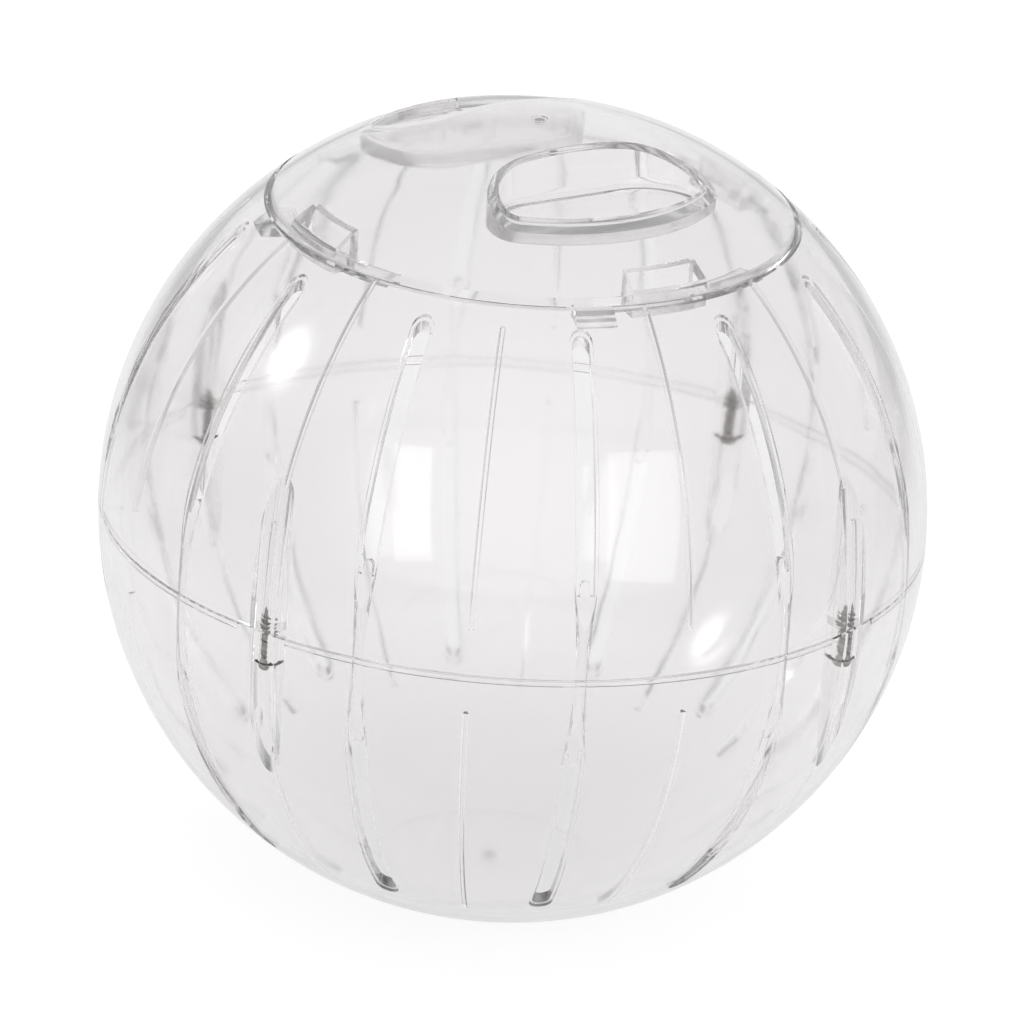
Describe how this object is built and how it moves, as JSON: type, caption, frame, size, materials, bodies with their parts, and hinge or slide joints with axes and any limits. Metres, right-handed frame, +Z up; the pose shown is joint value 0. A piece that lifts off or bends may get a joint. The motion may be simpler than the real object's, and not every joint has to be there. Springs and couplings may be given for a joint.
{
  "type": "hamster ball",
  "caption": "Clear plastic exercise ball for a small pet, in two slotted shells held by screws, with a twist-off round lid that has finger wells.",
  "frame": {"origin": "middle of the flat base that the ball stands on", "axes": "+Z up through the middle of the lid, -Y through the front finger well, +X to the right"},
  "size_m": [0.18, 0.18, 0.1766],
  "materials": {
    "clear_shell": "clear, polished",
    "clear_lid": "clear, polished",
    "screw_steel": "dark zinc plated"
  },
  "bodies": {
    "ball": {"upper_shell": "clear_shell", "lower_shell": "clear_shell", "screw_front_left": "screw_steel", "screw_front_right": "screw_steel", "screw_back_right": "screw_steel", "screw_back_left": "screw_steel"},
    "lid": {"lid": "clear_lid"}
  },
  "joints": [
    {"name": "lid_twist", "type": "hinge", "parent": "ball", "child": "lid", "pos_m": [0, 0, 0.15], "axis": [0, 0, 1], "range_deg": [-4.5, 57.5]}
  ]
}
